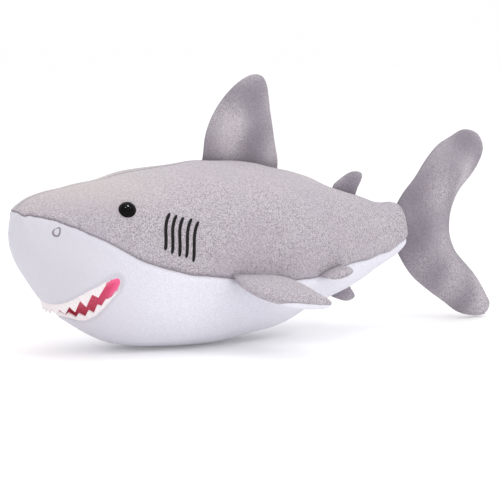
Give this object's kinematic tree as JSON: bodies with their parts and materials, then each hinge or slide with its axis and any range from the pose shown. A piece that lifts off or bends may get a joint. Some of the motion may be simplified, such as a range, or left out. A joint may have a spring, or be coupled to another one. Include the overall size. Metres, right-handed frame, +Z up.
{
  "type": "plush shark",
  "caption": "Stuffed plush shark lying on its belly, with grey back, white belly, felt teeth, safety eyes and sewn-on fins that flex at their root seams.",
  "frame": {"origin": "on the floor under the middle of the whole toy, between its nose and the tip of its tail fin and between its flanks", "axes": "+X from the nose towards the tail fin, +Y to the shark's right flank, +Z up from the floor"},
  "size_m": [0.4457, 0.2286, 0.2195],
  "materials": {
    "grey_plush": "short-pile plush",
    "white_plush": "smooth short-pile plush",
    "mouth_fabric": "smooth knit",
    "white_felt": "felt",
    "eye_plastic": "gloss",
    "washer_plastic": "matt",
    "black_thread": "satin stitch",
    "grey_thread": "satin stitch",
    "stuffing": "polyester fibre"
  },
  "bodies": {
    "torso": {"back_panel_left": "grey_plush", "back_panel_right": "grey_plush", "belly_panel": "white_plush", "mouth_lining": "mouth_fabric", "upper_teeth": "white_felt", "lower_teeth": "white_felt", "eye_left": "eye_plastic", "eye_right": "eye_plastic", "eye_washer_left": "washer_plastic", "eye_washer_right": "washer_plastic", "gill_stitches_left": "black_thread", "gill_stitches_right": "black_thread", "nostril_stitch_left": "grey_thread", "nostril_stitch_right": "grey_thread", "body_stuffing": "stuffing"},
    "dorsal_fin": {"dorsal_fin_left": "grey_plush", "dorsal_fin_right": "grey_plush", "dorsal_fin_stuffing": "stuffing"},
    "rear_dorsal_fin": {"rear_dorsal_fin_left": "grey_plush", "rear_dorsal_fin_right": "grey_plush", "rear_dorsal_fin_stuffing": "stuffing"},
    "anal_fin": {"anal_fin_left": "grey_plush", "anal_fin_right": "grey_plush", "anal_fin_stuffing": "stuffing"},
    "pectoral_fin_left": {"pectoral_fin_left_top": "grey_plush", "pectoral_fin_left_underside": "white_plush", "pectoral_fin_left_stuffing": "stuffing"},
    "pelvic_fin_left": {"pelvic_fin_left_top": "grey_plush", "pelvic_fin_left_underside": "grey_plush", "pelvic_fin_left_stuffing": "stuffing"},
    "pectoral_fin_right": {"pectoral_fin_right_top": "grey_plush", "pectoral_fin_right_underside": "white_plush", "pectoral_fin_right_stuffing": "stuffing"},
    "pelvic_fin_right": {"pelvic_fin_right_top": "grey_plush", "pelvic_fin_right_underside": "grey_plush", "pelvic_fin_right_stuffing": "stuffing"},
    "tail_fin": {"tail_fin_left": "grey_plush", "tail_fin_right": "grey_plush", "tail_fin_stuffing": "stuffing"}
  },
  "joints": [
    {"name": "dorsal_fin_flex", "type": "hinge", "parent": "torso", "child": "dorsal_fin", "pos_m": [-0.06056, 0, 0.15287], "axis": [0.9933, 0, -0.1158], "range_deg": [-22, 22], "stiffness_Nm_per_rad": 0.25},
    {"name": "rear_dorsal_fin_flex", "type": "hinge", "parent": "torso", "child": "rear_dorsal_fin", "pos_m": [0.06191, 0, 0.12313], "axis": [0.9453, 0, -0.3263], "range_deg": [-22, 22], "stiffness_Nm_per_rad": 0.03},
    {"name": "anal_fin_flex", "type": "hinge", "parent": "torso", "child": "anal_fin", "pos_m": [0.05965, 0, 0.02931], "axis": [0.9182, 0, 0.3961], "range_deg": [-22, 22], "stiffness_Nm_per_rad": 0.03},
    {"name": "pectoral_fin_left_flex", "type": "hinge", "parent": "torso", "child": "pectoral_fin_left", "pos_m": [-0.06917, -0.07181, 0.06168], "axis": [-0.9792, -0.1168, 0.1656], "range_deg": [-28, 28], "stiffness_Nm_per_rad": 0.25},
    {"name": "pectoral_fin_right_flex", "type": "hinge", "parent": "torso", "child": "pectoral_fin_right", "pos_m": [-0.06917, 0.07181, 0.06168], "axis": [0.9792, -0.1168, -0.1656], "range_deg": [-28, 28], "stiffness_Nm_per_rad": 0.25},
    {"name": "pelvic_fin_left_flex", "type": "hinge", "parent": "torso", "child": "pelvic_fin_left", "pos_m": [0.01844, -0.05565, 0.05496], "axis": [-0.9375, -0.2726, -0.2164], "range_deg": [-22, 22], "stiffness_Nm_per_rad": 0.03},
    {"name": "pelvic_fin_right_flex", "type": "hinge", "parent": "torso", "child": "pelvic_fin_right", "pos_m": [0.01844, 0.05565, 0.05496], "axis": [0.9375, -0.2726, 0.2164], "range_deg": [-22, 22], "stiffness_Nm_per_rad": 0.03},
    {"name": "tail_fin_flex", "type": "hinge", "parent": "torso", "child": "tail_fin", "pos_m": [0.127, 0, 0.0838], "axis": [0, 0, 1], "range_deg": [-28, 28], "stiffness_Nm_per_rad": 1.2}
  ]
}
